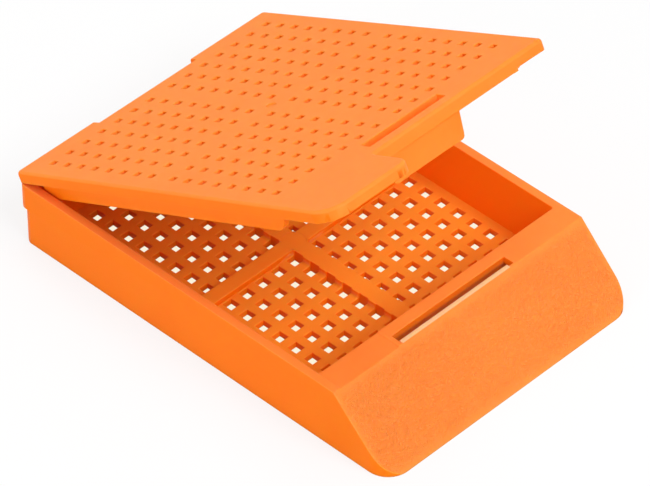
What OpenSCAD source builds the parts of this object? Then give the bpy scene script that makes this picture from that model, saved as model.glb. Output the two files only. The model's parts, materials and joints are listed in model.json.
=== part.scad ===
// Tissue cassette: a perforated tray with a sloped writing face and a perforated hinged lid.
// Millimetres. X runs across, the writing face looks towards -Y, the hinge is at +Y, Z is up.
// The lid is drawn closed on the tray and then turned open about its hinge pins.

/* [Tray] */
// Width across the rim
tray_w = 28.3; // [27:0.1:30]
// Length from the front foot to the lip over the hinge
tray_l = 41; // [40.6:0.1:43]
// Height of the rim
tray_h = 5.9; // [5.6:0.1:6.4]
// Thickness of the side walls at the rim
wall_t = 0.8; // [0.7:0.05:1]
// Thickness of the back wall at the rim
back_wall_t = 1.1; // [1:0.05:1.2]
// Thickness of the perforated floor
floor_t = 0.6; // [0.5:0.05:1]
// Draft of the outer side faces in degrees
side_draft = 0.5; // [0:0.1:1.5]
// Corner radius in plan at the front
front_corner_r = 2.1; // [1.5:0.1:2.5]
// Corner radius in plan at the back
back_corner_r = 0.8; // [0.5:0.1:1]

/* [Writing face] */
// Angle of the writing face above the ground
slope_angle = 45; // [43:1:48]
// Thickness of the writing face
slope_t = 0.8; // [0.7:0.05:0.9]
// Depth of the flat land between the cavity and the writing face
land_d = 2.35; // [2.3:0.05:2.7]
// Thickness of the land
land_t = 0.75; // [0.7:0.05:0.9]

/* [Perforation] */
// Distance from one hole to the next
pitch = 1.8; // [1.75:0.01:1.82]
// Holes along the cassette on each side of the middle
rows_per_side = 8; // [6:1:8]
// Holes across the cassette on each side of the middle
cols_per_side = 7; // [5:1:7]
// Side of the square holes in the floor
floor_hole = 0.95; // [0.8:0.05:1]
// Side of the square holes in the lid
lid_hole = 0.6; // [0.5:0.05:0.9]
// Height of the cross ribs above the floor
rib_h = 0.5; // [0.2:0.05:0.6]

/* [Lid] */
// Thickness of the lid plate
lid_t = 1; // [0.9:0.05:1.1]
// How far the lid stays inside the rim on each side
lid_inset = 0.1; // [0:0.05:0.3]
// Radius along the top edges of the lid
lid_edge_r = 0.3; // [0.1:0.05:0.35]
// Width of the thumb tab
tab_w = 8.95; // [7:0.05:9]
// Length of the thumb tab past the front edge of the plate
tab_l = 4.35; // [3.5:0.05:4.4]
// Drop of the latch tongue below the plate
tongue_drop = 2.47; // [2:0.01:2.6]
// Drop of the side skirts below the plate
skirt_drop = 1.67; // [1.2:0.01:1.8]

/* [Hinge] */
// How far the lid stands open
open_angle = 26.1; // [20:0.1:90]
// Radius of the hinge pins
pin_r = 0.42; // [0.35:0.01:0.43]
// Width of each hinge ear
ear_w = 4; // [3:0.1:5]
// Distance of each ear from the middle
ear_x = 9.2; // [8.8:0.1:9.6]

/* [Hidden] */
$fn = 48;
// Reach of a cutter past the surface that it cuts
over = 1;

// Tray outline along Y
front_y = -tray_l / 2;
lip_y = tray_l / 2;
lip_out = 0.45;
lip_h = 1.95;
wall_y = lip_y - lip_out;
back_draft = 0.2;
back_foot_r = 0.5;
slope_top_y = front_y + tray_h / tan(slope_angle);

// Cavity
cav_half_w = tray_w / 2 - wall_t;
cav_back_y = wall_y - back_wall_t;
cav_front_y = slope_top_y + land_d;
cav_corner_r = 0.2;
front_wall_t = 0.9;

// Slot in the land that takes the latch tongue, and the seat of the thumb tab beside it
slot_w = 12.8;
slot_d = 1;
slot_set = 1.12;
slot_y = cav_front_y - slot_set - slot_d / 2;
seat_depth = 0.06;
seat_x = -6.85;

// Hole grids
row_gap = 0.86;
col_gap = 0.68;
first_row = (pitch + row_gap) / 2;
first_col = (pitch + col_gap) / 2;
grid_half_l = first_row + (rows_per_side - 1) * pitch;
grid_back_set = 1.5;
grid_y = cav_back_y - grid_back_set - grid_half_l;
lid_grid_shift = 0.15;
rib_lap = 0.1;
rib_clear = 0.15;
rib_half_w_x = first_col - floor_hole / 2 + rib_lap;
rib_half_w_y = first_row - floor_hole / 2 - rib_clear;
mark_r = 1.05;
mark_depth = 0.05;

// Hinge
pin_clear = 0.04;
pin_l = 0.8;
pin_end_clear = 0.15;
ear_r = 0.65;
ear_clear = 0.12;
ear_web = 0.75;
pivot_drop = 1;
pivot_y = lip_y - ear_r;
pivot_z = tray_h - pivot_drop;
notch_half_w = ear_w / 2 + ear_clear;
notch_z = tray_h - lip_h - lip_out;

// Lid, closed
lid_w = tray_w - 2 * lid_inset;
seat_gap = 0.03;
lid_z = tray_h + seat_gap;
lid_back_out = 0.1;
lid_back_y = pivot_y + lid_back_out;
tongue_t = 0.55;
tongue_half_w = 4.25;
tongue_taper = 0.35;
tongue_corner_r = 0.5;
tongue_set = 0.15;
lid_front_y = slot_y - tongue_t / 2 - tongue_set;
tab_front_y = lid_front_y - tab_l;
tab_side_x = -lid_w / 2 + tab_w;
lid_grid_y = grid_y - lid_grid_shift;
recess_half_w = 5.5;
recess_d = 0.7;
skirt_t = 0.6;
skirt_side_clear = 0.15;
skirt_front_clear = 0.43;
skirt_back_clear = 0.75;
skirt_corner_r = 1.15;
groove_half_w = 4.2;
groove_d = 1.1;
groove_depth = 0.55;
groove_set = 1.2;
strip_depth = 0.22;
strip_d = 0.4;
strip_end_x = 10.8;
gate_r = 0.4;
gate_depth = 0.1;
lid_corner_r = 0.4;
front_right_r = 0.4;
tab_inner_r = 1;
tab_outer_r = 2.2;

// Corners of the lid in plan, counterclockwise, each as [x, y, radius]
lid_outline = [
    [lid_w / 2, lid_back_y, lid_corner_r],
    [-lid_w / 2, lid_back_y, lid_corner_r],
    [-lid_w / 2, tab_front_y, tab_outer_r],
    [tab_side_x, tab_front_y, tab_inner_r],
    [tab_side_x, lid_front_y, lid_corner_r],
    [lid_w / 2, lid_front_y, front_right_r],
];

// Centres of the holes of one grid along one direction
function hole_places(first, count) =
    [for (side = [-1, 1], i = [0 : count - 1]) side * (first + i * pitch)];

// Unit vector from one corner to another
function heading(from, to) =
    let (d = [to.x - from.x, to.y - from.y]) d / norm(d);

// Square holes of a grid, in plan
module hole_grid(hole) {
    for (x = hole_places(first_col, cols_per_side), y = hole_places(first_row, rows_per_side))
        translate([x, y]) square(hole, center = true);
}

// Runs its child along X, with the child's X along Y and its Y along Z
module along_x(from, to) {
    translate([from, 0, 0]) rotate([90, 0, 90]) linear_extrude(to - from) children();
}

// Rectangle between two corner points, in plan or in section
module box_2d(low, high) {
    translate(low) square(high - low);
}

// What a radius takes off a corner at [r, r], seen from the centre of its arc
module corner_bit(r) {
    difference() {
        square(r + over);
        circle(r);
    }
}

// --- Tray ---------------------------------------------------------------------------------

// Right side of the tray's outline in plan, from its rounded corners to past the left side
module side_plan(back_y) {
    difference() {
        box_2d([-tray_w - over, front_y], [0, back_y]);
        translate([-front_corner_r, front_y + front_corner_r]) mirror([0, 1])
            corner_bit(front_corner_r);
        translate([-back_corner_r, back_y - back_corner_r]) corner_bit(back_corner_r);
    }
}

// Upright block with both sides drafted inwards towards the ground
module drafted_block(back_y) {
    intersection_for (side = [0, 1])
        mirror([side, 0, 0]) translate([tray_w / 2, 0, tray_h]) rotate([0, side_draft, 0])
            translate([0, 0, -tray_h - over]) linear_extrude(tray_h + 2 * over) side_plan(back_y);
}

// Rounding of the rim's back edge about the hinge, so that the lid's corner swings past it
module knuckle_cut() {
    translate([pivot_y, pivot_z]) difference() {
        square(2 * pivot_drop);
        circle(pivot_drop);
    }
}

// Side view of the tray without its lip, rounded at the foot of the back wall
module wall_section() {
    lean = atan(back_draft / (tray_h - lip_h));
    foot_y = wall_y - back_draft + back_foot_r * tan(lean) - back_foot_r / cos(lean);
    difference() {
        polygon([
            [front_y, 0], [foot_y, 0],
            [foot_y + back_foot_r * cos(lean), back_foot_r * (1 - sin(lean))],
            [wall_y, tray_h - lip_h], [wall_y, tray_h], [slope_top_y, tray_h],
        ]);
        knuckle_cut();
    }
    translate([foot_y, back_foot_r]) circle(back_foot_r);
}

// Side view of the lip along the top of the back wall
module lip_section() {
    difference() {
        polygon([
            [cav_back_y, notch_z], [wall_y, notch_z], [lip_y, tray_h - lip_h],
            [lip_y, tray_h], [cav_back_y, tray_h],
        ]);
        knuckle_cut();
    }
}

module tray_outside() {
    intersection() {
        drafted_block(wall_y);
        along_x(-tray_w, tray_w) wall_section();
    }
    intersection() {
        drafted_block(lip_y);
        along_x(-tray_w, tray_w) lip_section();
    }
}

// Space for the tissue, with small radii in its corners
module cavity() {
    translate([0, 0, floor_t]) linear_extrude(tray_h) difference() {
        box_2d([-cav_half_w, cav_front_y], [cav_half_w, cav_back_y]);
        for (sx = [0, 1]) mirror([sx, 0]) {
            translate([cav_half_w - cav_corner_r, cav_back_y - cav_corner_r])
                corner_bit(cav_corner_r);
            translate([cav_half_w - cav_corner_r, cav_front_y + cav_corner_r]) mirror([0, 1])
                corner_bit(cav_corner_r);
        }
    }
}

// Hollow under the writing face and the land, open towards the ground
module slope_hollow() {
    inner_y = front_y + slope_t / sin(slope_angle);
    top_z = tray_h - land_t;
    back_y = cav_front_y - front_wall_t;
    along_x(-cav_half_w, cav_half_w) polygon([
        [inner_y - over / tan(slope_angle), -over], [back_y, -over], [back_y, top_z],
        [inner_y + top_z / tan(slope_angle), top_z],
    ]);
}

// Slot that the latch tongue drops through
module latch_slot() {
    translate([-slot_w / 2, slot_y - slot_d / 2, tray_h / 2])
        cube([slot_w, slot_d, tray_h]);
}

// Shallow seat of the thumb tab in the land
module tab_seat() {
    translate([-cav_half_w, slope_top_y - over, tray_h - seat_depth])
        cube([cav_half_w + seat_x, land_d + 2 * over, over]);
}

// Ribs that cross on the floor between the four fields of holes
module cross_ribs() {
    intersection() {
        translate([0, grid_y, 0]) {
            translate([-cav_half_w - wall_t / 2, -rib_half_w_y, floor_t / 2])
                cube([2 * cav_half_w + wall_t, 2 * rib_half_w_y, floor_t / 2 + rib_h]);
            translate([-rib_half_w_x, -tray_l / 2, floor_t / 2])
                cube([2 * rib_half_w_x, tray_l, floor_t / 2 + rib_h]);
        }
        translate([-tray_w / 2, cav_front_y - wall_t / 2, 0])
            cube([tray_w, cav_back_y - cav_front_y + wall_t, tray_h]);
    }
}

// Notches in the back wall for the lid's ears, with a blind bore in each cheek
module hinge_notches() {
    for (side = [-1, 1]) translate([side * ear_x, 0, 0]) {
        translate([-notch_half_w, cav_back_y - over, notch_z])
            cube([2 * notch_half_w, lip_y - cav_back_y + 2 * over, tray_h]);
        translate([0, pivot_y, pivot_z]) rotate([0, 90, 0])
            cylinder(r = pin_r + pin_clear, h = ear_w + 2 * (pin_l + pin_end_clear), center = true);
    }
}

module tray() {
    color("darkorange") difference() {
        union() {
            difference() {
                tray_outside();
                cavity();
            }
            cross_ribs();
        }
        translate([0, grid_y, -over]) linear_extrude(tray_h) hole_grid(floor_hole);
        translate([0, grid_y, floor_t + rib_h - mark_depth]) cylinder(r = mark_r, h = over);
        slope_hollow();
        latch_slot();
        tab_seat();
        hinge_notches();
    }
}

// --- Lid ----------------------------------------------------------------------------------

// The corner of an outline with a given number, counted round
function corner(outline, i) = outline[(i + len(outline)) % len(outline)];

// Direction in which an outline arrives at a corner, and in which it leaves
function arriving(outline, i) = heading(corner(outline, i - 1), corner(outline, i));
function leaving(outline, i) = arriving(outline, i + 1);

// 1 at an outside corner and -1 at an inside one
function turn(outline, i) = sign(cross(arriving(outline, i), leaving(outline, i)));

// Radius of a corner, and the centre of its arc
function radius(outline, i) = corner(outline, i)[2];
function arc_centre(outline, i) =
    place(outline, i) + radius(outline, i) * (leaving(outline, i) - arriving(outline, i));
function place(outline, i) = [corner(outline, i).x, corner(outline, i).y];

// Puts its child, drawn as at an upper right corner, at one corner of an outline
module at_corner(outline, i) {
    d = turn(outline, i) > 0 ? arriving(outline, i) : -leaving(outline, i);
    translate(arc_centre(outline, i)) rotate(atan2(d.y, d.x)) mirror([0, 1, 0]) children();
}

// Area inside an outline of right-angled corners, each rounded by its own radius
module rounded_plan(outline) {
    corners = [0 : len(outline) - 1];
    difference() {
        union() {
            polygon([for (i = corners) place(outline, i)]);
            for (i = corners) if (turn(outline, i) < 0)
                at_corner(outline, i) corner_bit(radius(outline, i));
        }
        for (i = corners) if (turn(outline, i) > 0)
            at_corner(outline, i) corner_bit(radius(outline, i));
    }
}

module lid_plate() {
    translate([0, 0, lid_z]) linear_extrude(lid_t) difference() {
        rounded_plan(lid_outline);
        translate([0, lid_grid_y]) hole_grid(lid_hole);
        box_2d([-recess_half_w, lid_back_y - recess_d], [recess_half_w, lid_back_y + over]);
    }
}

// Cutter that rounds a top edge, in section: the edge is at the origin and the solid at +X, -Y
module top_edge_bit(r) {
    translate([r, -r]) mirror([1, 0]) corner_bit(r);
}

// Rounds a straight top edge that starts at a point and has the solid on its left
module round_edge(start, direction, length) {
    translate([start.x, start.y, lid_z + lid_t]) rotate(atan2(direction.y, direction.x))
        along_x(0, length) top_edge_bit(lid_edge_r);
}

// Rounds the top edge round one corner of an outline
module round_corner(outline, i) {
    r = radius(outline, i);
    translate([0, 0, lid_z + lid_t]) at_corner(outline, i) rotate_extrude(angle = 90)
        if (turn(outline, i) > 0) translate([r, 0]) mirror([1, 0]) top_edge_bit(lid_edge_r);
        else intersection() {
            translate([r, 0]) top_edge_bit(lid_edge_r);
            translate([0, -over]) square(r + 2 * over);
        }
}

// Rounds the top edges of the lid, all round and along the recess at the hinge
module lid_edges() {
    for (i = [0 : len(lid_outline) - 1]) {
        start = place(lid_outline, i) + radius(lid_outline, i) * leaving(lid_outline, i);
        end = place(lid_outline, i + 1) - radius(lid_outline, i + 1) * leaving(lid_outline, i);
        round_edge(start, leaving(lid_outline, i), norm(end - start));
        round_corner(lid_outline, i);
    }
    round_edge([recess_half_w, lid_back_y - recess_d], [-1, 0], 2 * recess_half_w);
}

// Blind groove over the latch tongue
module lid_groove() {
    translate([-groove_half_w, lid_front_y + groove_set, lid_z + lid_t - groove_depth])
        cube([2 * groove_half_w, groove_d, over]);
}

// Tongue that latches in the slot of the land, narrower and rounded at its end
module latch_tongue() {
    drop = tongue_drop;
    tilt = atan(tongue_taper / drop);
    r = tongue_corner_r;
    centre_x = tongue_half_w - tongue_taper * (drop - r) / drop - r / cos(tilt);
    rim_x = centre_x + r * cos(tilt);
    rim_z = r - drop - r * sin(tilt);
    top_z = lid_t / 2;
    translate([0, slot_y + tongue_t / 2, lid_z]) rotate([90, 0, 0]) linear_extrude(tongue_t) {
        polygon([
            [tongue_half_w, 0], [tongue_half_w, top_z], [-tongue_half_w, top_z],
            [-tongue_half_w, 0], [-rim_x, rim_z], [-centre_x, -drop], [centre_x, -drop],
            [rim_x, rim_z],
        ]);
        for (side = [-1, 1]) translate([side * centre_x, r - drop]) circle(r);
    }
}

// Skirt along one side, inside the cavity when the lid is shut
module side_skirt() {
    start_y = cav_front_y + skirt_front_clear;
    end_y = cav_back_y - skirt_back_clear;
    bottom_z = lid_z - skirt_drop;
    outside_x = cav_half_w - skirt_side_clear;
    along_x(outside_x - skirt_t, outside_x) difference() {
        box_2d([start_y, bottom_z], [end_y, lid_z + lid_t / 2]);
        translate([start_y + skirt_corner_r, bottom_z + skirt_corner_r]) mirror([1, 0]) mirror([0, 1])
            corner_bit(skirt_corner_r);
    }
}

// Low strip under the front edge
module front_strip() {
    translate([tab_side_x, lid_front_y, lid_z - strip_depth])
        cube([strip_end_x - tab_side_x, strip_d, strip_depth + lid_t / 2]);
}

// Ear with a hinge pin through it
module hinge_ear() {
    plate_z = lid_z - pivot_z;
    back_y = lid_back_y - pivot_y;
    lean = ear_r * cos(45);
    translate([0, pivot_y, pivot_z]) {
        along_x(-ear_w / 2, ear_w / 2) {
            circle(ear_r);
            polygon([
                [0, 0], [lean, lean], [back_y, plate_z],
                [back_y - lid_edge_r, plate_z + lid_t / 2], [-ear_web, plate_z + lid_t / 2],
                [-ear_web, plate_z], [-ear_r, 0],
            ]);
        }
        rotate([0, 90, 0]) cylinder(r = pin_r, h = ear_w + 2 * pin_l, center = true);
    }
}

module closed_lid() {
    difference() {
        lid_plate();
        lid_edges();
        lid_groove();
        translate([0, lid_grid_y, lid_z + lid_t - gate_depth]) cylinder(r = gate_r, h = over);
    }
    latch_tongue();
    front_strip();
    for (side = [0, 1]) mirror([side, 0, 0]) {
        side_skirt();
        translate([ear_x, 0, 0]) hinge_ear();
    }
}

module lid() {
    color("orange") translate([0, pivot_y, pivot_z]) rotate([-open_angle, 0, 0])
        translate([0, -pivot_y, -pivot_z]) closed_lid();
}

tray();
lid();
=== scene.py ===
"""Tissue cassette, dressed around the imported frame.

The tray and the lid are merged copies of the frame's solids, with their edges softened as a mould
leaves them, and finished in satin orange plastic.  All lengths are in metres, in the frame's own
axes: X across, the writing face towards -Y, the hinge at +Y, Z up.
"""

from __future__ import annotations

import json
import logging
import math
from contextlib import contextmanager
from dataclasses import dataclass
from enum import Enum
from typing import Callable, Iterator

import bmesh
import bpy
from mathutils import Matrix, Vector

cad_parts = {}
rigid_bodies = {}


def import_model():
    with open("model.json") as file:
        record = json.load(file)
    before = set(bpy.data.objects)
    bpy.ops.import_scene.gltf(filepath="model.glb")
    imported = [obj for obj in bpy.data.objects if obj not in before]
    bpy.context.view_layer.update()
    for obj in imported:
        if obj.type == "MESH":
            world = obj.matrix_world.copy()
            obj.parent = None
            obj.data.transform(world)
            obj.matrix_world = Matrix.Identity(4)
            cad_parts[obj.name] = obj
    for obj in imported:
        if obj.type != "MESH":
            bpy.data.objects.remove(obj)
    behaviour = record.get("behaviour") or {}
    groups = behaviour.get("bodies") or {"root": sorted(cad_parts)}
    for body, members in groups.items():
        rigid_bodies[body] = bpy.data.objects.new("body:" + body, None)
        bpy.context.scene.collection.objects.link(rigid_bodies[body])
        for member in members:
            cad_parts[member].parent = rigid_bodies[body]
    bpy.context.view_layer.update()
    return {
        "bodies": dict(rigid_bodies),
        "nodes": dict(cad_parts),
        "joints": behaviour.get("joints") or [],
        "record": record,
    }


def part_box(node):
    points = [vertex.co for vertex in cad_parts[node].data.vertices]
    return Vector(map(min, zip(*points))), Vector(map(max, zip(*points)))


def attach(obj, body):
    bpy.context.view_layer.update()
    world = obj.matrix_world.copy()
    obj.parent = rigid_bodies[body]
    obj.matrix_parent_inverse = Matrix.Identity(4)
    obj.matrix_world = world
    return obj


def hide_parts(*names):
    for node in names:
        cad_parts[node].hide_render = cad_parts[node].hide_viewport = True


LOG = logging.getLogger("tissue_cassette")
MM = 0.001
SMOOTH_ANGLE = math.radians(50.0)
PARTLY_UP = 0.5
MOSTLY_UP = 0.8
WHITE = (1.0, 1.0, 1.0, 1.0)

Colour = tuple[float, float, float]
Point = tuple[float, float, float]
EdgeTest = Callable[[bmesh.types.BMEdge], bool]
FaceTest = Callable[[bmesh.types.BMFace], bool]


# --- Tools of the bench -----------------------------------------------------------------------


class NodeKind(Enum):
    """Shader nodes that the finishes are built from."""

    COORDINATES = "ShaderNodeTexCoord"
    NOISE = "ShaderNodeTexNoise"
    RAMP = "ShaderNodeValToRGB"
    MAP_RANGE = "ShaderNodeMapRange"
    MATH = "ShaderNodeMath"
    MIX = "ShaderNodeMix"
    BUMP = "ShaderNodeBump"
    SEPARATE = "ShaderNodeSeparateXYZ"
    LIGHT_PATH = "ShaderNodeLightPath"
    EMISSION = "ShaderNodeEmission"
    BACKGROUND = "ShaderNodeBackground"
    MIX_SHADER = "ShaderNodeMixShader"
    DIFFUSE = "ShaderNodeBsdfDiffuse"
    PRINCIPLED = "ShaderNodeBsdfPrincipled"
    OUTPUT = "ShaderNodeOutputMaterial"
    WORLD_OUTPUT = "ShaderNodeOutputWorld"


class Graph:
    """A material's node tree, built one node at a time."""

    def __init__(self, name: str, world: bool = False) -> None:
        """Starts an empty material.

        Args:
            name: Name of the material.
            world: Whether it is the world's instead of a surface's.
        """
        self.material = (bpy.data.worlds if world else bpy.data.materials).new(name)
        self.material.use_nodes = True
        self.tree = self.material.node_tree
        self.tree.nodes.clear()

    def add(self, kind: NodeKind, **values: object) -> bpy.types.ShaderNode:
        """Adds a node.

        Args:
            kind: Which node it is.
            values: Input sockets by name with spaces as underscores, or properties of the node.

        Returns:
            The new node.
        """
        node = self.tree.nodes.new(kind.value)
        for key, value in values.items():
            socket = node.inputs.get(key.replace("_", " "))
            if socket is not None:
                socket.default_value = value
            else:
                setattr(node, key, value)
        return node

    def link(self, source: bpy.types.NodeSocket, target: bpy.types.NodeSocket) -> None:
        """Joins two sockets."""
        self.tree.links.new(source, target)

    def object_position(self) -> bpy.types.NodeSocket:
        """Object coordinates, which are the frame's own metres."""
        return self.add(NodeKind.COORDINATES).outputs["Object"]

    def noise(self, size: float, detail: float, distortion: float = 0.0) -> bpy.types.NodeSocket:
        """Soft noise over the object.

        Args:
            size: Width of its blotches, in metres.
            detail: How many finer layers it has.
            distortion: How far it is stirred.

        Returns:
            The noise as a value about one half.
        """
        node = self.add(NodeKind.NOISE, Scale=1 / size, Detail=detail, Distortion=distortion)
        self.link(self.object_position(), node.inputs["Vector"])
        return node.outputs["Fac"]

    def math(self, operation: str, *terms: object) -> bpy.types.NodeSocket:
        """One step of arithmetic on sockets and numbers.

        Args:
            operation: The Math node's operation.
            terms: Its inputs, as sockets or numbers.

        Returns:
            The result.
        """
        node = self.add(NodeKind.MATH, operation=operation)
        for place, term in enumerate(terms):
            if isinstance(term, bpy.types.NodeSocket):
                self.link(term, node.inputs[place])
            else:
                node.inputs[place].default_value = term
        return node.outputs["Value"]

    def blend(
        self, factor: object, first: object, second: object, way: str = "MIX",
    ) -> bpy.types.NodeSocket:
        """Mixes two colours.

        Args:
            factor: Share of the second one, as a socket or a number.
            first: First colour, as a socket or a colour.
            second: Second colour, as a socket or a colour.
            way: The Mix node's blend type.

        Returns:
            The mixed colour.
        """
        node = self.add(NodeKind.MIX, data_type="RGBA", blend_type=way)
        sockets = [socket for socket in node.inputs if socket.enabled]
        for socket, term in zip(sockets, (factor, first, second)):
            if isinstance(term, bpy.types.NodeSocket):
                self.link(term, socket)
            elif isinstance(term, tuple):
                socket.default_value = (*term, 1.0)
            else:
                socket.default_value = term
        return next(socket for socket in node.outputs if socket.enabled)

    def looked_at(self) -> bpy.types.NodeSocket:
        """1 for rays of the camera, of reflections and of clear parts, and 0 for light itself."""
        path = self.add(NodeKind.LIGHT_PATH)
        seen = self.math("MAXIMUM", path.outputs["Is Camera Ray"], path.outputs["Is Glossy Ray"])
        return self.math("MAXIMUM", seen, path.outputs["Is Transmission Ray"])

    def smooth_step(
        self, value: bpy.types.NodeSocket, low: float, high: float,
    ) -> bpy.types.NodeSocket:
        """Turns a value smoothly from 0 at low to 1 at high."""
        node = self.add(NodeKind.MAP_RANGE, interpolation_type="SMOOTHSTEP")
        self.link(value, node.inputs["Value"])
        node.inputs["From Min"].default_value = low
        node.inputs["From Max"].default_value = high
        return node.outputs["Result"]

    def inside(self, low: Point, high: Point, axes: str, border: float) -> bpy.types.NodeSocket:
        """Where a point lies in a box, seen along the axis that isn't named.

        Args:
            low: Lowest corner of the box, in metres.
            high: Highest corner of the box, in metres.
            axes: The two axes that count.
            border: Width over which the value changes, in metres.

        Returns:
            1 well inside the box, falling to 0 at its borders.
        """
        parts = self.add(NodeKind.SEPARATE)
        self.link(self.object_position(), parts.inputs["Vector"])
        share: object = 1.0
        for axis in axes:
            start, end = low["XYZ".index(axis)], high["XYZ".index(axis)]
            rise = self.smooth_step(parts.outputs[axis], start, start + border)
            fall = self.smooth_step(parts.outputs[axis], end, end - border)
            share = self.math("MULTIPLY", share, self.math("MULTIPLY", rise, fall))
        return share


@contextmanager
def editing(piece: bpy.types.Object) -> Iterator[bmesh.types.BMesh]:
    """Opens a piece in edit mode, with nothing else selected and nothing of it selected.

    Args:
        piece: The piece to edit.

    Yields:
        Its edit mesh.
    """
    only(piece)
    bpy.ops.object.mode_set(mode="EDIT")
    bpy.ops.mesh.select_all(action="DESELECT")
    yield bmesh.from_edit_mesh(piece.data)
    bpy.ops.object.mode_set(mode="OBJECT")


def only(piece: bpy.types.Object) -> None:
    """Makes one piece the only selected object, and the active one."""
    bpy.ops.object.select_all(action="DESELECT")
    piece.select_set(True)
    bpy.context.view_layer.objects.active = piece


def select_edges(piece: bpy.types.Object, mesh: bmesh.types.BMesh, test: EdgeTest) -> int:
    """Selects the edges of a piece that pass a test.

    Args:
        piece: The piece in edit mode.
        mesh: Its edit mesh.
        test: Says whether an edge is wanted.

    Returns:
        How many edges it selected.
    """
    bpy.ops.mesh.select_mode(type="EDGE")
    wanted = [edge for edge in mesh.edges if test(edge)]
    for edge in wanted:
        edge.select_set(True)
    mesh.select_flush_mode()
    bmesh.update_edit_mesh(piece.data)
    return len(wanted)


def select_faces(piece: bpy.types.Object, mesh: bmesh.types.BMesh, test: FaceTest) -> int:
    """Selects the faces of a piece that pass a test.

    Args:
        piece: The piece in edit mode.
        mesh: Its edit mesh.
        test: Says whether a face is wanted.

    Returns:
        How many faces it selected.
    """
    bpy.ops.mesh.select_mode(type="FACE")
    wanted = [face for face in mesh.faces if test(face)]
    for face in wanted:
        face.select_set(True)
    bmesh.update_edit_mesh(piece.data)
    return len(wanted)


def upward(piece: bpy.types.Object) -> Vector:
    """Direction that a piece's largest upward flat faces."""
    flats = [face for face in piece.data.polygons if face.normal.z > MOSTLY_UP]
    return max(flats, key=lambda face: face.area).normal.copy()


def bend(edge: bmesh.types.BMEdge) -> float:
    """Angle between an edge's two faces, in degrees."""
    return math.degrees(edge.calc_face_angle(0.0))


# --- Finishes ---------------------------------------------------------------------------------


@dataclass(frozen=True)
class SatinPlastic:
    """Moulded orange plastic with a satin skin, painted paler on the faces that look up as a
    painted sheen.

    Args:
        name: Name of the material.
        colour: Its colour on sides, in holes and below, linear.
        painted_sheen_top_colour: Its paler colour on the faces that look up, linear: a painted
            sheen.
        depth: Shade of its fuller patches, with 1 for no patches.
        cloud_size: Width of the patches, in metres.
        cloud_low: Noise at which a patch is fullest.
        cloud_high: Noise at which there is no patch.
        roughness: Roughness of the skin.
        rough_change: How far the roughness goes up and down.
        rough_size: Width over which it changes, in metres.
        skin_size: Width of the skin's fine texture, in metres.
        skin_height: Height of that texture, in metres.
        wave_size: Width of the long, faint unevenness of a moulded wall, in metres.
        wave_height: Height of that unevenness, in metres.
        glow: How much light spreads inside the plastic.
        glow_radius: How far red, green and blue spread, as shares of glow_reach.
        glow_reach: How far light spreads, in metres.
        shine: Strength of the skin's reflection.
        ior: Index of refraction.
        side_z: Upward part of the normal up to which a face counts as a side, with no painted
            sheen.
        top_z: Upward part of the normal from which a face counts as a top, with the full painted
            sheen.
    """

    name: str
    colour: Colour = (0.95, 0.195, 0.004)
    # the paler colour of the faces that look up is a painted sheen
    painted_sheen_top_colour: Colour = (0.97, 0.255, 0.045)
    depth: float = 0.95
    cloud_size: float = 5.0 * MM
    cloud_low: float = 0.35
    cloud_high: float = 0.65
    roughness: float = 0.42
    rough_change: float = 0.06
    rough_size: float = 0.8 * MM
    skin_size: float = 0.16 * MM
    skin_height: float = 0.004 * MM
    wave_size: float = 3.0 * MM
    wave_height: float = 0.012 * MM
    glow: float = 0.5
    glow_radius: Colour = (1.0, 0.3, 0.08)
    glow_reach: float = 1.0 * MM
    shine: float = 0.07
    ior: float = 1.48
    side_z: float = 0.1
    top_z: float = 0.6

    def painted_sheen_share(self, graph: Graph) -> bpy.types.NodeSocket:
        """0 on sides and below, rising to 1 on the faces that look up: the share of the painted
        sheen.
        """
        parts = graph.add(NodeKind.SEPARATE)
        graph.link(graph.add(NodeKind.COORDINATES).outputs["Normal"], parts.inputs["Vector"])
        return graph.smooth_step(parts.outputs["Z"], self.side_z, self.top_z)

    def colour_of(self, graph: Graph) -> bpy.types.NodeSocket:
        """Paler where it looks up, as a painted sheen, with slight clouds of fuller colour as flow
        leaves them.
        """
        clouds = graph.add(NodeKind.RAMP)
        graph.link(graph.noise(self.cloud_size, 4.0, 0.6), clouds.inputs["Fac"])
        fullest, plainest = clouds.color_ramp.elements
        fullest.position = self.cloud_low
        fullest.color = (1.0, self.depth, self.depth, 1.0)
        plainest.position = self.cloud_high
        plainest.color = WHITE
        # faces that look up get the paler colour: a painted sheen
        plain = graph.blend(self.painted_sheen_share(graph), self.colour, self.painted_sheen_top_colour)
        return graph.blend(1.0, plain, clouds.outputs["Color"], "MULTIPLY")

    def relief_of(self, graph: Graph) -> bpy.types.NodeSocket:
        """Normal of the satin skin over the long waves of the wall."""
        waves = graph.add(NodeKind.BUMP, Distance=self.wave_height, Strength=1.0)
        graph.link(graph.noise(self.wave_size, 2.0), waves.inputs["Height"])
        skin = graph.add(NodeKind.BUMP, Distance=self.skin_height, Strength=1.0)
        graph.link(graph.noise(self.skin_size, 3.0), skin.inputs["Height"])
        graph.link(waves.outputs["Normal"], skin.inputs["Normal"])
        return skin.outputs["Normal"]

    def build(self) -> bpy.types.Material:
        """Builds the material."""
        graph = Graph(self.name)
        shader = graph.add(
            NodeKind.PRINCIPLED, IOR=self.ior, Specular_IOR_Level=self.shine,
            Subsurface_Weight=self.glow, Subsurface_Radius=self.glow_radius,
            Subsurface_Scale=self.glow_reach,
        )
        roughness = graph.add(
            NodeKind.MAP_RANGE,
            To_Min=self.roughness - self.rough_change, To_Max=self.roughness + self.rough_change,
        )
        graph.link(graph.noise(self.rough_size, 3.0), roughness.inputs["Value"])
        graph.link(roughness.outputs["Result"], shader.inputs["Roughness"])
        graph.link(self.colour_of(graph), shader.inputs["Base Color"])
        graph.link(self.relief_of(graph), shader.inputs["Normal"])
        output = graph.add(NodeKind.OUTPUT)
        graph.link(shader.outputs["BSDF"], output.inputs["Surface"])
        return graph.material


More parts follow.
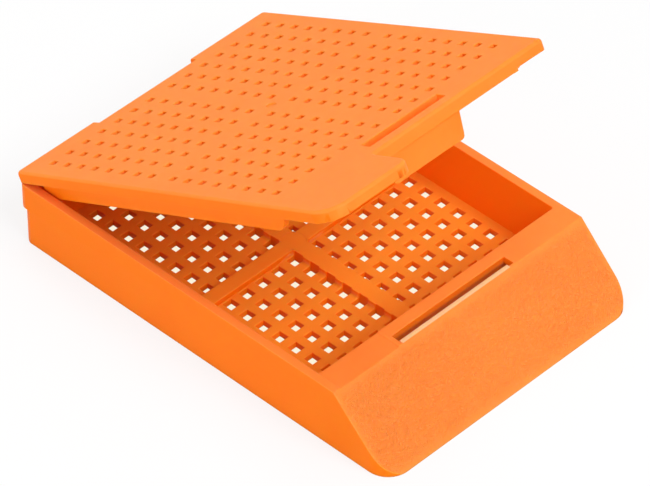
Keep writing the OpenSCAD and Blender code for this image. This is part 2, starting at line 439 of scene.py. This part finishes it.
@dataclass(frozen=True, kw_only=True)
class GrainedPlastic(SatinPlastic):
    """The same plastic with the wrinkled grain of a writing face, smooth along its borders.

    Args:
        low: Lowest corner of the grained field, in metres.
        high: Highest corner of the grained field, in metres.
        border: Width over which the grain fades out, in metres.
        grain_size: Width of one wrinkle, in metres.
        grain_height: Height of a wrinkle, in metres.
        grain_stir: How far the wrinkles are stirred.
        fold: Noise at which a wrinkle folds back.
        grain_mean: Mean of the wrinkles, which is taken off them so that the borders stay level.
    """

    low: Point
    high: Point
    border: float = 0.7 * MM
    grain_size: float = 0.34 * MM
    grain_height: float = 0.34 * MM
    grain_stir: float = 1.4
    fold: float = 0.5
    grain_mean: float = 0.42

    def relief_of(self, graph: Graph) -> bpy.types.NodeSocket:
        """Normal of the wrinkles, over the satin skin."""
        stirred = graph.noise(self.grain_size, 3.0, self.grain_stir)
        wrinkles = graph.math("PINGPONG", stirred, self.fold)
        level = graph.math("SUBTRACT", wrinkles, self.grain_mean)
        field = graph.inside(self.low, self.high, "XZ", self.border)
        height = graph.math("MULTIPLY", level, field)
        grain = graph.add(NodeKind.BUMP, Distance=self.grain_height, Strength=1.0)
        graph.link(height, grain.inputs["Height"])
        graph.link(super().relief_of(graph), grain.inputs["Normal"])
        return grain.outputs["Normal"]


@dataclass(frozen=True)
class PaleFloor:
    """Matt white table that stays white to the eye and keeps a soft shadow, except under the tray,
    where it is painted warm and lifted nearly to white as painted bounce light in place of the
    tray's shadow.

    Args:
        low: Lowest corner of what stands on it, in metres.
        high: Highest corner of what stands on it, in metres.
        name: Name of the material.
        shade: Its reflectance.
        whiteness: How far it is lifted to plain white where it is looked at.
        painted_bounce_colour: Its colour where it is seen through the tray's holes: painted warm
            bounce light.
        painted_bounce_whiteness: How far it is lifted there, as painted light in place of the
            tray's shadow.
        fade: Width over which the painted warm colour fades out, in metres.
    """

    low: Point
    high: Point
    name: str = "pale_floor"
    shade: float = 0.8
    whiteness: float = 0.78
    painted_bounce_colour: Colour = (1.0, 0.9, 0.7)
    painted_bounce_whiteness: float = 0.97
    fade: float = 2.0 * MM

    def build(self) -> bpy.types.Material:
        """Builds the material."""
        graph = Graph(self.name)
        matt = graph.add(NodeKind.DIFFUSE, Color=(self.shade, self.shade, self.shade, 1.0))
        white = graph.add(NodeKind.EMISSION, Strength=1.0)
        # painted bounce light: under the tray the floor is tinted warm and lifted, in place of its
        # shadow
        under = graph.inside(self.low, self.high, "XY", self.fade)
        tint = graph.add(NodeKind.RAMP)
        graph.link(under, tint.inputs["Fac"])
        tint.color_ramp.elements[0].color = WHITE
        tint.color_ramp.elements[1].color = (*self.painted_bounce_colour, 1.0)
        graph.link(tint.outputs["Color"], white.inputs["Color"])
        gain = self.painted_bounce_whiteness - self.whiteness
        lift = graph.math("MULTIPLY_ADD", under, gain, self.whiteness)
        mix = graph.add(NodeKind.MIX_SHADER)
        graph.link(graph.math("MULTIPLY", graph.looked_at(), lift), mix.inputs["Fac"])
        graph.link(matt.outputs["BSDF"], mix.inputs[1])
        graph.link(white.outputs["Emission"], mix.inputs[2])
        output = graph.add(NodeKind.OUTPUT)
        graph.link(mix.outputs["Shader"], output.inputs["Surface"])
        return graph.material


# --- Sub-assemblies ---------------------------------------------------------------------------


@dataclass
class MouldedPiece:
    """A moulded piece: a merged copy of one solid of the frame, with softened edges.

    Args:
        node: Name of the frame's solid, which the piece stands for.
        body: Name of the body that it rides on.
        finish: Its finish.
        edge_soft: Width of the softening along its edges, in metres.
        segments: Number of steps across a softened edge.
        hole_side: Longest side of a hole, in metres.
        first_column: Distance from the piece's middle to the middle of its first holes, in metres.
        pitch: Distance from hole to hole, in metres.
        columns_per_side: Number of hole columns on each side of the middle.
        sharp: Smallest bend of an edge that is softened, in degrees.
        shallow: Width of the narrowest face whose edges are softened, in metres.
        flat_area: Area from which a face is a flat, in square metres.
        flat_cosine: Cosine of the angle by which a flat's normals may lean.
        ground: Height up to which an edge rests on the table and stays crisp, in metres.
        merge: Distance within which the solid's corners are one, in metres.
        coplanar: Bend up to which neighbouring faces are one flat, in degrees.
    """

    node: str
    body: str
    finish: SatinPlastic
    edge_soft: float = 0.07 * MM
    segments: int = 3
    hole_side: float = 1.1 * MM
    first_column: float = 1.24 * MM
    pitch: float = 1.8 * MM
    columns_per_side: int = 7
    sharp: float = 30.0
    shallow: float = 0.09 * MM
    flat_area: float = 1.0 * MM * MM
    flat_cosine: float = 0.99
    ground: float = 0.001 * MM
    merge: float = 0.0001 * MM
    coplanar: float = 0.2

    def columns(self) -> list[float]:
        """Middles of the hole columns and of the piece, across it, in metres."""
        places = [self.first_column + self.pitch * count for count in range(self.columns_per_side)]
        return [0.0, *places, *(-place for place in places)]

    def copy_node(self, frame: dict) -> bpy.types.Object:
        """Copies the solid's mesh into a new piece and merges its loose triangles.

        Cuts along the middles of the hole columns stay, so that no flat has a hole inside it.


        Returns:
            The new piece.
        """
        solid = frame["nodes"][self.node]
        piece = bpy.data.objects.new(f"{self.node}_shell", solid.data.copy())
        bpy.context.scene.collection.objects.link(piece)
        piece.data.name = piece.name
        with editing(piece):
            bpy.ops.mesh.select_all(action="SELECT")
            bpy.ops.mesh.remove_doubles(threshold=self.merge)
            for place in self.columns():
                bpy.ops.mesh.select_all(action="SELECT")
                bpy.ops.mesh.bisect(plane_co=(place, 0.0, 0.0), plane_no=(1.0, 0.0, 0.0))
                bpy.ops.mesh.mark_seam()
            bpy.ops.mesh.select_all(action="SELECT")
            bpy.ops.mesh.dissolve_limited(
                angle_limit=math.radians(self.coplanar), delimit={"SEAM"},
            )
        return piece

    def is_hole_edge(self, edge: bmesh.types.BMEdge) -> bool:
        """Whether an edge is short enough to belong to a small square hole."""
        return edge.calc_length() < self.hole_side

    def soften(self, piece: bpy.types.Object) -> None:
        """Rounds every sharp outer edge but those resting on the table, those of shallow steps and
        those of the holes' undersides.
        """
        up = upward(piece)

        def wanted(edge: bmesh.types.BMEdge) -> bool:
            below = any(face.normal.dot(up) < -PARTLY_UP for face in edge.link_faces)
            resting = min(vert.co.z for vert in edge.verts) < self.ground
            depth = min(face.calc_area() for face in edge.link_faces) / edge.calc_length()
            crisp = resting or depth < self.shallow or (below and self.is_hole_edge(edge))
            return edge.is_convex and bend(edge) > self.sharp and not crisp

        with editing(piece) as mesh:
            count = select_edges(piece, mesh, wanted)
            bpy.ops.mesh.bevel(
                offset=self.edge_soft, segments=self.segments, profile=0.5, affect="EDGES",
                clamp_overlap=False,
            )
        LOG.info("%s: %d edges softened", piece.name, count)

    def weigh_normals(self, piece: bpy.types.Object) -> None:
        """Turns the normals at every corner towards the largest face there."""
        only(piece)
        weighting = piece.modifiers.new("flat_flats", "WEIGHTED_NORMAL")
        weighting.weight = 100
        weighting.keep_sharp = True
        bpy.ops.object.modifier_apply(modifier=weighting.name)

    def leaning_corners(self, piece: bpy.types.Object) -> set[int]:
        """Finds the corners at which a flat is shaded as if it leaned.

        Args:
            piece: The piece.

        Returns:
            The numbers of their vertices.
        """
        mesh = piece.data
        normals = mesh.corner_normals
        return {
            mesh.loops[corner].vertex_index
            for flat in mesh.polygons if flat.area > self.flat_area
            for corner in flat.loop_indices
            if normals[corner].vector.dot(flat.normal) < self.flat_cosine
        }

    def shade(self, piece: bpy.types.Object) -> None:
        """Shades the rounded edges smooth and keeps the flats flat."""
        only(piece)
        bpy.ops.object.shade_smooth_by_angle(angle=SMOOTH_ANGLE, keep_sharp_edges=False)
        self.weigh_normals(piece)
        leaning = self.leaning_corners(piece)

        def leads_astray(edge: bmesh.types.BMEdge) -> bool:
            on_flat = any(face.calc_area() > self.flat_area for face in edge.link_faces)
            return on_flat and any(vert.index in leaning for vert in edge.verts)

        with editing(piece) as mesh:
            select_edges(piece, mesh, leads_astray)
            bpy.ops.mesh.mark_sharp()
        self.weigh_normals(piece)

    def assign(self, piece: bpy.types.Object, finish: SatinPlastic, test: FaceTest) -> None:
        """Gives the faces that pass a test a finish of their own.

        Args:
            piece: The piece.
            finish: Their finish.
            test: Says whether a face gets it.
        """
        piece.data.materials.append(finish.build())
        with editing(piece) as mesh:
            count = select_faces(piece, mesh, test)
            piece.active_material_index = len(piece.data.materials) - 1
            bpy.ops.object.material_slot_assign()
        LOG.info("%s: %d faces of %s", piece.name, count, finish.name)

    def dress(self, piece: bpy.types.Object) -> None:
        """Gives the piece its finish in place of the solid's.

        Args:
            piece: The piece.
        """
        piece.data.materials.clear()
        piece.data.materials.append(self.finish.build())

    def hand_over(self, piece: bpy.types.Object) -> None:
        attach(piece, self.body)
        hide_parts(self.node)
        LOG.info("%s: %d faces on %s", piece.name, len(piece.data.polygons), self.body)

    def build(self, frame: dict) -> bpy.types.Object:
        """Returns:
            The finished piece.
        """
        piece = self.copy_node(frame)
        self.soften(piece)
        self.shade(piece)
        self.dress(piece)
        self.hand_over(piece)
        return piece


@dataclass
class Tray(MouldedPiece):
    """The perforated tray with its grained writing face.

    Args:
        slope: Angle of the writing face above the ground, in degrees.
        slack: How far a face may lean from it and still belong to it, in degrees.
        rib_top: Height below which the upward faces belong to the floor and its ribs, in metres.
        painted_light_floor_finish: Finish of the floor and the ribs, whose tops are painted paler
            still, as painted light in the shaded inside.
    """

    node: str = "tray"
    body: str = "tray_body"
    slope: float = 45.0
    slack: float = 3.0
    rib_top: float = 1.15 * MM
    finish: SatinPlastic = SatinPlastic("tray_plastic")
    # the floor and rib tops are painted paler still, as painted light in the shaded inside
    painted_light_floor_finish: SatinPlastic = SatinPlastic("tray_floor_painted_light", painted_sheen_top_colour=(0.98, 0.31, 0.03))

    def on_floor(self, face: bmesh.types.BMFace) -> bool:
        """Whether a face is the top of the perforated floor or of a rib."""
        return face.normal.z > PARTLY_UP and face.calc_center_median().z < self.rib_top

    def on_writing_face(self, face: bmesh.types.BMFace) -> bool:
        """Whether a face is the outside of the sloped writing face."""
        slope = math.radians(self.slope)
        outward = Vector((0.0, -math.sin(slope), math.cos(slope)))
        return face.normal.dot(outward) > math.cos(math.radians(self.slack))

    def dress(self, piece: bpy.types.Object) -> None:
        """Gives the tray its satin finishes, its floor and rib tops a paler colour as painted
        light, and its writing face the grain.
        """
        super().dress(piece)
        low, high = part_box(self.node)
        grained = GrainedPlastic(
            "writing_face_plastic", low=(low.x, low.y, 0.0), high=(high.x, 0.0, high.z)
        )
        self.assign(piece, grained, self.on_writing_face)
        # painted light: the floor and rib tops get the paler finish
        self.assign(piece, self.painted_light_floor_finish, self.on_floor)


@dataclass
class Lid(MouldedPiece):
    """The perforated lid with its thumb tab, latch tongue and skirts."""

    node: str = "lid"
    body: str = "lid_body"
    edge_soft: float = 0.08 * MM
    hole_side: float = 0.7 * MM
    # the lid's paler top colour is a painted sheen
    finish: SatinPlastic = SatinPlastic("lid_plastic", painted_sheen_top_colour=(0.97, 0.255, 0.036))


@dataclass
class SlotLip:
    """The thin lip along the front of the latch slot, coloured pale as a painted highlight.

    Args:
        body: Name of the body that it rides on.
        slope: Angle of the writing face, at whose top edge the lip starts, in degrees.
        front_gap: Distance from that edge to the lip, in metres.
        depth: Width of the lip towards the slot, in metres.
        left_x: Its left end, in metres.
        right_x: Its right end, in metres.
        proud: How far it stands above the land, in metres.
        thickness: Its height, in metres.
        soft: Rounding of its edges, in metres.
        finish: Its finish, pale on top as a painted highlight.
    """

    body: str = "tray_body"
    slope: float = 45.0
    front_gap: float = 0.02 * MM
    depth: float = 0.4 * MM
    left_x: float = -6.38 * MM
    right_x: float = 5.85 * MM
    proud: float = 0.015 * MM
    thickness: float = 0.3 * MM
    soft: float = 0.04 * MM
    # the lip's pale top colour is a painted highlight in the slot
    finish: SatinPlastic = SatinPlastic("slot_lip_painted_highlight", painted_sheen_top_colour=(0.95, 0.53, 0.27))

    def build(self) -> bpy.types.Object:
        """Returns:
            The finished lip.
        """
        low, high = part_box("tray")
        front = low.y + high.z / math.tan(math.radians(self.slope)) + self.front_gap
        size = Vector((self.right_x - self.left_x, self.depth, self.thickness))
        centre = Vector((
            (self.left_x + self.right_x) / 2, front + self.depth / 2,
            high.z + self.proud - self.thickness / 2,
        ))
        bpy.ops.object.select_all(action="DESELECT")
        bpy.ops.mesh.primitive_cube_add(size=1.0, location=(0.0, 0.0, 0.0))
        lip = bpy.context.active_object
        lip.name = lip.data.name = "slot_lip"
        with editing(lip):
            bpy.ops.mesh.select_all(action="SELECT")
            bpy.ops.transform.resize(value=size)
            bpy.ops.transform.translate(value=centre)
            bpy.ops.mesh.bevel(offset=self.soft, segments=3, affect="EDGES")
        bpy.ops.object.shade_smooth_by_angle(angle=SMOOTH_ANGLE)
        lip.data.materials.append(self.finish.build())
        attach(lip, self.body)
        LOG.info("%s: %d faces on %s", lip.name, len(lip.data.polygons), self.body)
        return lip


# --- Studio -----------------------------------------------------------------------------------


@dataclass(frozen=True)
class Softbox:
    """A square soft lamp that faces the cassette.

    Args:
        name: Name of the lamp.
        place: Where it hangs, in metres.
        size: Its side, in metres.
        level: How brightly it lights a white card that faces it, with 1 for plain white.
    """

    name: str
    place: Point
    size: float
    level: float

    def hang(self) -> None:
        """Hangs the lamp."""
        bpy.ops.object.light_add(type="AREA", location=self.place)
        lamp = bpy.context.active_object
        lamp.name = self.name
        lamp.data.shape = "SQUARE"
        lamp.data.size = self.size
        lamp.data.energy = self.level * (math.pi * Vector(self.place).length) ** 2
        lamp.rotation_euler = (-Vector(self.place)).to_track_quat("-Z", "Y").to_euler()


@dataclass
class Studio:
    """Table, soft lamps and camera.

    Args:
        sky: Strength of the even light from all round.
        lamps: The soft lamps.
        eye: Place of the camera, in metres.
        aim: Point that it looks at, in metres.
        lens: Focal length, in millimetres.
        nearest: Distance from which the camera sees, in metres.
        floor_size: Side of the table, in metres.
    """

    sky: float = 0.48
    lamps: tuple[Softbox, ...] = (
        Softbox("front_softbox", (0.0, -0.4, 0.45), 0.36, 0.68),
        Softbox("back_softbox", (0.05, 0.14, 0.58), 0.3, 0.32),
        Softbox("left_softbox", (-0.6, 0.0, 0.12), 0.3, 0.32),
    )
    eye: Point = (-0.238143, -0.231450, 0.301919)
    aim: Point = (0.0000226, 0.0000518, 0.003)
    lens: float = 310.805
    nearest: float = 0.01
    floor_size: float = 3.0

    def lay_floor(self) -> None:
        """Lays the table that the cassette stands on."""
        bpy.ops.mesh.primitive_plane_add(size=self.floor_size, location=(0.0, 0.0, 0.0))
        floor = bpy.context.active_object
        floor.name = "table"
        low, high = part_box("tray")
        floor.data.materials.append(PaleFloor(tuple(low), tuple(high)).build())

    def light_sky(self) -> None:
        """Lights the scene evenly from all round, with plain white behind it."""
        graph = Graph("soft_white", world=True)
        sky = graph.add(NodeKind.BACKGROUND, Color=WHITE, Strength=self.sky)
        white = graph.add(NodeKind.BACKGROUND, Color=WHITE, Strength=1.0)
        mix = graph.add(NodeKind.MIX_SHADER)
        graph.link(graph.looked_at(), mix.inputs["Fac"])
        graph.link(sky.outputs["Background"], mix.inputs[1])
        graph.link(white.outputs["Background"], mix.inputs[2])
        graph.link(mix.outputs["Shader"], graph.add(NodeKind.WORLD_OUTPUT).inputs["Surface"])
        bpy.context.scene.world = graph.material

    def set_camera(self) -> None:
        """Sets up the camera."""
        bpy.ops.object.camera_add(location=self.eye)
        camera = bpy.context.active_object
        gaze = Vector(self.aim) - Vector(self.eye)
        camera.rotation_euler = gaze.to_track_quat("-Z", "Y").to_euler()
        camera.data.lens = self.lens
        camera.data.clip_start = self.nearest
        bpy.context.scene.camera = camera

    def build(self) -> None:
        """Sets up the table, the lamps and the camera."""
        self.set_camera()
        self.lay_floor()
        self.light_sky()
        for lamp in self.lamps:
            lamp.hang()
        bpy.context.scene.view_settings.view_transform = "Standard"


def main() -> None:
    """Builds the cassette and its studio."""
    logging.basicConfig(level=logging.INFO, format="%(name)s: %(message)s")
    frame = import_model()
    Studio().build()
    for piece in (Tray(), Lid()):
        built = piece.build(frame)
        LOG.info("%s is ready", built.name)
    SlotLip().build()


if __name__ == "__main__":
    main()
